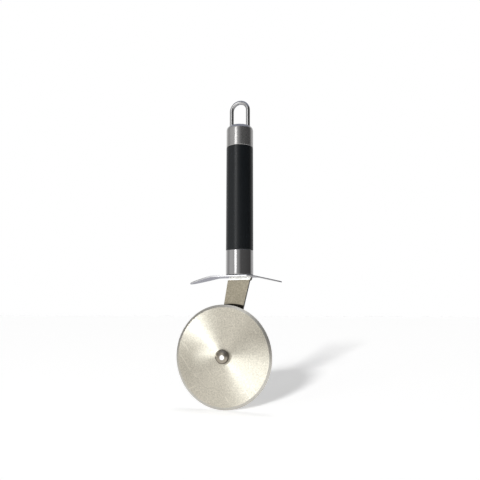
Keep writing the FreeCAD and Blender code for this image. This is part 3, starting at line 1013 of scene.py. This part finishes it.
# Plain cards round the set, by heading in degrees: 0 is in front, and it turns towards +X. White cards stand
# behind on both sides, a grey one in front and on the left, and a black flag on the right.
CARD_TONES = tuple((heading, (grey, grey, grey)) for heading, grey in (
    (-180, 0.5), (-135, 0.9), (-90, 0.3), (-60, 0.5), (0, 0.45),
    (30, 0.1), (120, 0.06), (150, 0.6), (180, 0.5),
))
LID_TONES = ((-180, (0.33, 0.35, 0.43)), (180, (0.33, 0.35, 0.43)))
GROUND_TONES = (
    (-180, (0.40, 0.40, 0.44)), (-120, (0.42, 0.42, 0.45)), (-80, (0.80, 0.79, 0.77)),
    (20, (0.95, 0.94, 0.92)), (60, (0.55, 0.54, 0.53)), (120, (0.45, 0.45, 0.48)),
    (180, (0.40, 0.40, 0.44)),
)


# Suns: name, strength, width, azimuth, elevation, and whether the floor is left out or is all they light.
# The first one's strength is the stage's Key.
SUNS = (
    ("key_sun", None, 6.0, 4.0, 12.0, "EXCLUDE"),
    ("side_sun", 1.4, 6.0, -10.0, 22.0, "EXCLUDE"),
    ("floor_sun", 5.8, 6.0, 5.0, 12.5, "INCLUDE"),
    ("floor_top", 0.6, 24.0, 205.0, 78.0, "INCLUDE"),
)
# Spots a metre off: name, power, cone, blend, radius, azimuth, elevation, aim, and the one piece they light
SPOTS = (
    ("wheel_spot", 22.0, 5.0, 0.12, 0.01, -52.0, 17.0, HUB, "wheel_disc"),
    ("wheel_low_spot", 15.0, 2.2, 0.6, 0.002, -60.0, 1.0, HUB + Vector((14.0, 0.0, -4.0)) * MM, "wheel_disc"),
    (
        "neck_spot", 65.0, 3.0, 0.4, 0.01, -50.0, 1.0,
        Vector((0.0, ARM_LOW.y, GUARD_HIGH.z - 2.0 * MM)), "arm_strip",
    ),
)
COOL_LIGHT = (0.9, 0.95, 1.0)
FLOOR_REACH = 30.0
BOWL_FOOT = 0.16
BOWL_RADIUS = 1.5
BOWL_RIM = 1.5
BOWL_TOP = 1.9
CAMERA_PLACE = (0.1214, -0.3179, -0.1429)
CAMERA_AHEAD = Vector((-0.3524, 0.9249, 0.1428))
CAMERA_ROLL = math.radians(-0.10)


def bare_tree(owner, output="OutputMaterial"):
    """A node tree with only its output, and the output's surface input."""
    owner.use_nodes = True
    owner.node_tree.nodes.clear()
    return owner.node_tree, add_node(owner.node_tree, output).inputs["Surface"]


def seen_white(tree):
    """1 for rays from the camera, a mirror or glass, which see the white background."""
    path = add_node(tree, "LightPath").outputs
    total = path["Is Camera Ray"]
    for name in ("Is Glossy Ray", "Is Transmission Ray"):
        total = add_node(tree, "Math", {0: total, 1: path[name]}, operation="MAXIMUM").outputs["Value"]
    return total


def tones(tree, share, stops):
    """A colour for each heading round the set, from stops in degrees."""
    ramp = add_node(tree, "ValToRGB", {"Fac": share})
    elements = ramp.color_ramp.elements
    elements[0].position, elements[1].position = 0.0, 1.0
    for degrees, tone in stops[1:-1]:
        elements.new((degrees + 180) / 360).color = (*tone, 1.0)
    elements[0].color = (*stops[0][1], 1.0)
    elements[len(elements) - 1].color = (*stops[-1][1], 1.0)
    return ramp.outputs["Color"]


class CUTTER_OT_stage(bpy.types.Operator):
    """Set the floor, the reflector bowl, the lamps and the camera"""

    bl_idname = "cutter.stage"
    bl_label = "Stage"

    def execute(self, context):
        settings = context.scene.cutter_stage
        floor_z = WHEEL_LOW.z
        floor = self.lay_floor(settings, floor_z)
        self.hang_bowl(floor_z)
        self.light_world(context.scene, settings)
        self.place_suns(settings, floor, Vector((HUB.x, 0.0, floor_z)))
        self.place_softbox()
        self.place_spots()
        self.place_camera(context.scene, settings)
        context.scene.view_settings.view_transform = "Standard"
        return {"FINISHED"}

    def stage_mesh(self, bm, name, material):
        mesh = bpy.data.meshes.new(name)
        bm.to_mesh(mesh)
        bm.free()
        mesh.materials.append(material)
        item = bpy.data.objects.new(name, mesh)
        bpy.context.scene.collection.objects.link(item)
        return item

    def lay_floor(self, settings, floor_z):
        """A white floor that keeps the shadows, lifted to white where nothing shades it."""
        material = bpy.data.materials.new("pale_floor")
        tree, surface = bare_tree(material)
        paint = add_node(tree, "BsdfDiffuse", {"Color": (*settings.floor, 1.0)})
        strength = add_node(tree, "Math", {0: seen_white(tree), 1: settings.floor_lift}, operation="MULTIPLY")
        lift = add_node(tree, "Emission", {"Strength": strength.outputs["Value"]})
        both = add_node(tree, "AddShader", {0: paint.outputs["BSDF"], 1: lift.outputs["Emission"]})
        feed(tree, both.outputs["Shader"], surface)
        bm = bmesh.new()
        bmesh.ops.create_grid(bm, x_segments=1, y_segments=1, size=FLOOR_REACH)
        bmesh.ops.translate(bm, vec=(0.0, 0.0, floor_z), verts=bm.verts[:])
        return self.stage_mesh(bm, "floor", material)

    def hang_bowl(self, floor_z):
        """Cards round the set, seen only in the metal, over a pale ground and under a grey lid."""
        material = bpy.data.materials.new("reflector_cloth")
        tree, surface = bare_tree(material)
        x, y, z = add_node(tree, "SeparateXYZ", {0: add_node(tree, "TexCoord").outputs["Object"]}).outputs
        forward = add_node(tree, "Math", {0: y, 1: -1.0}, operation="MULTIPLY").outputs["Value"]
        heading = add_node(tree, "Math", {0: x, 1: forward}, operation="ARCTAN2").outputs["Value"]
        turn = {"Value": heading, "From Min": -math.pi, "From Max": math.pi}
        share = add_node(tree, "MapRange", turn).outputs["Result"]
        cloth = tones(tree, share, CARD_TONES)
        # Further tones, and the heights between which each takes over
        for stops, start, end in (
            (GROUND_TONES, floor_z + 12.0 * MM, floor_z + 8.0 * MM),
            (LID_TONES, 1.40, 1.52),
        ):
            level = add_node(tree, "MapRange", {"Value": z, "From Min": start, "From Max": end})
            cloth = mix_colours(tree, level.outputs["Result"], cloth, tones(tree, share, stops))
        feed(tree, add_node(tree, "Emission", {"Color": cloth}).outputs["Emission"], surface)
        bm = bmesh.new()
        pen = Pen(bm, BOWL_FOOT, floor_z + 1.0 * MM)
        pen.line(BOWL_RADIUS, floor_z + 2.0 * MM)
        pen.line(BOWL_RADIUS, BOWL_RIM)
        pen.line(0.0, BOWL_TOP)
        turn_round(bm, 96)
        bowl = self.stage_mesh(bm, "reflector_bowl", material)
        for ray in ("camera", "diffuse", "shadow", "transmission", "volume_scatter"):
            setattr(bowl, "visible_" + ray, False)

    def light_world(self, scene, settings):
        """Even fill light, in front of a white background."""
        scene.world = bpy.data.worlds.new("white_room")
        tree, surface = bare_tree(scene.world, "OutputWorld")
        fill, white = [
            add_node(tree, "Background", {"Color": WHITE, "Strength": strength}).outputs["Background"]
            for strength in (settings.sky, 1.0)
        ]
        choose = add_node(tree, "MixShader", {"Fac": seen_white(tree), 1: fill, 2: white})
        feed(tree, choose.outputs["Shader"], surface)

    def lamp(self, name, kind, energy, azimuth, elevation, distance, target):
        """Stand a lamp round the set. Azimuth 0 is in front (-Y), and turns towards +X."""
        lamp = bpy.data.objects.new(name, bpy.data.lights.new(name, kind))
        bpy.context.scene.collection.objects.link(lamp)
        lamp.data.energy = energy
        lamp.visible_camera = False
        turn, lift = math.radians(azimuth), math.radians(elevation)
        away = Vector((math.sin(turn) * math.cos(lift), -math.cos(turn) * math.cos(lift), math.sin(lift)))
        lamp.location = target + away * distance
        lamp.rotation_mode = "QUATERNION"
        lamp.rotation_quaternion = (-away).to_track_quat("-Z", "Y")
        return lamp

    def keep_to(self, lamp, piece, state):
        """Let a lamp light only one piece, or everything but it."""
        lit = bpy.data.collections.new(lamp.name + "_lights")
        lit.objects.link(piece)
        lit.collection_objects[0].light_linking.link_state = state
        lamp.light_linking.receiver_collection = lit

    def place_suns(self, settings, floor, foot):
        for name, strength, width, azimuth, elevation, state in SUNS:
            strength = settings.sun if strength is None else strength
            sun = self.lamp(name, "SUN", strength, azimuth, elevation, 1.0, foot)
            sun.data.angle = math.radians(width)
            sun.visible_glossy = False
            self.keep_to(sun, floor, state)
        # In the last sun, only the wheel throws a shadow, at its foot
        wheel = bpy.data.collections.new("wheel_alone")
        for piece in ("wheel_disc", "wheel_bevel"):
            wheel.objects.link(bpy.data.objects[piece])
        sun.light_linking.blocker_collection = wheel

    def place_softbox(self):
        """A tall soft lamp in front. The guard's wing would mirror it as a white patch, so it is left out."""
        box = self.lamp("front_softbox", "AREA", 0.62, -13.0, 9.0, 0.9, Vector((0.0, 0.0, 0.03)))
        box.data.shape = "RECTANGLE"
        box.data.size, box.data.size_y = 0.23, 0.44
        self.keep_to(box, bpy.data.objects["guard_sheet"], "EXCLUDE")

    def place_spots(self):
        for name, power, cone, blend, radius, azimuth, elevation, target, piece in SPOTS:
            spot = self.lamp(name, "SPOT", power, azimuth, elevation, 1.0, target)
            spot.data.spot_size = math.radians(cone)
            spot.data.spot_blend = blend
            spot.data.shadow_soft_size = radius
            spot.visible_glossy = piece == "wheel_disc"
            if piece == "wheel_disc":
                spot.data.color = COOL_LIGHT
            self.keep_to(spot, bpy.data.objects[piece], "INCLUDE")

    def place_camera(self, scene, settings):
        data = bpy.data.cameras.new("camera")
        data.lens = settings.lens
        data.sensor_width = 36.0
        data.clip_start, data.clip_end = 0.01, 100.0
        camera = bpy.data.objects.new("camera", data)
        scene.collection.objects.link(camera)
        camera.location = CAMERA_PLACE
        camera.rotation_mode = "QUATERNION"
        roll = Matrix.Rotation(CAMERA_ROLL, 3, CAMERA_AHEAD.normalized()).to_quaternion()
        camera.rotation_quaternion = roll @ CAMERA_AHEAD.to_track_quat("-Z", "Y")
        scene.camera = camera


MAKERS = (
    CUTTER_OT_hanging_loop,
    CUTTER_OT_end_cap,
    CUTTER_OT_grip_sleeve,
    CUTTER_OT_lower_ferrule,
    CUTTER_OT_finger_guard,
    CUTTER_OT_arm,
    CUTTER_OT_cutting_wheel,
    CUTTER_OT_axle_rivet,
    CUTTER_OT_washers,
    CUTTER_OT_inner_parts,
    CUTTER_OT_stage,
)


class CUTTER_PT_panel(bpy.types.Panel):
    """Lists the sizes, the finishes and the makers"""

    bl_idname = "CUTTER_PT_panel"
    bl_label = "Pizza cutter"
    bl_space_type = "VIEW_3D"
    bl_region_type = "UI"
    bl_category = "Cutter"

    def draw(self, context):
        layout = self.layout
        for title, name in GROUPS:
            box = layout.box()
            box.label(text=title)
            group = getattr(context.scene, name)
            for prop in group.bl_rna.properties:
                if prop.identifier not in {"rna_type", "name"}:
                    box.prop(group, prop.identifier)
        for maker in MAKERS:
            layout.operator(maker.bl_idname)


GROUPS = (
    ("Handle", "cutter_handle"),
    ("Guard, arm and wheel", "cutter_blade"),
    ("Finishes", "cutter_finish"),
    ("Stage", "cutter_stage"),
)
HOLDERS = (CutterHandleSizes, CutterBladeSizes, CutterFinish, CutterStage)


def register():
    for cls in HOLDERS + MAKERS + (CUTTER_PT_panel,):
        bpy.utils.register_class(cls)
    for (title, name), holder in zip(GROUPS, HOLDERS):
        setattr(bpy.types.Scene, name, PointerProperty(type=holder, name=title))


def unregister():
    for title, name in GROUPS:
        delattr(bpy.types.Scene, name)
    for cls in reversed(HOLDERS + MAKERS + (CUTTER_PT_panel,)):
        bpy.utils.unregister_class(cls)


def main():
    register()
    for maker in MAKERS:
        group, name = maker.bl_idname.split(".")
        getattr(getattr(bpy.ops, group), name)()


if __name__ == "__main__":
    main()
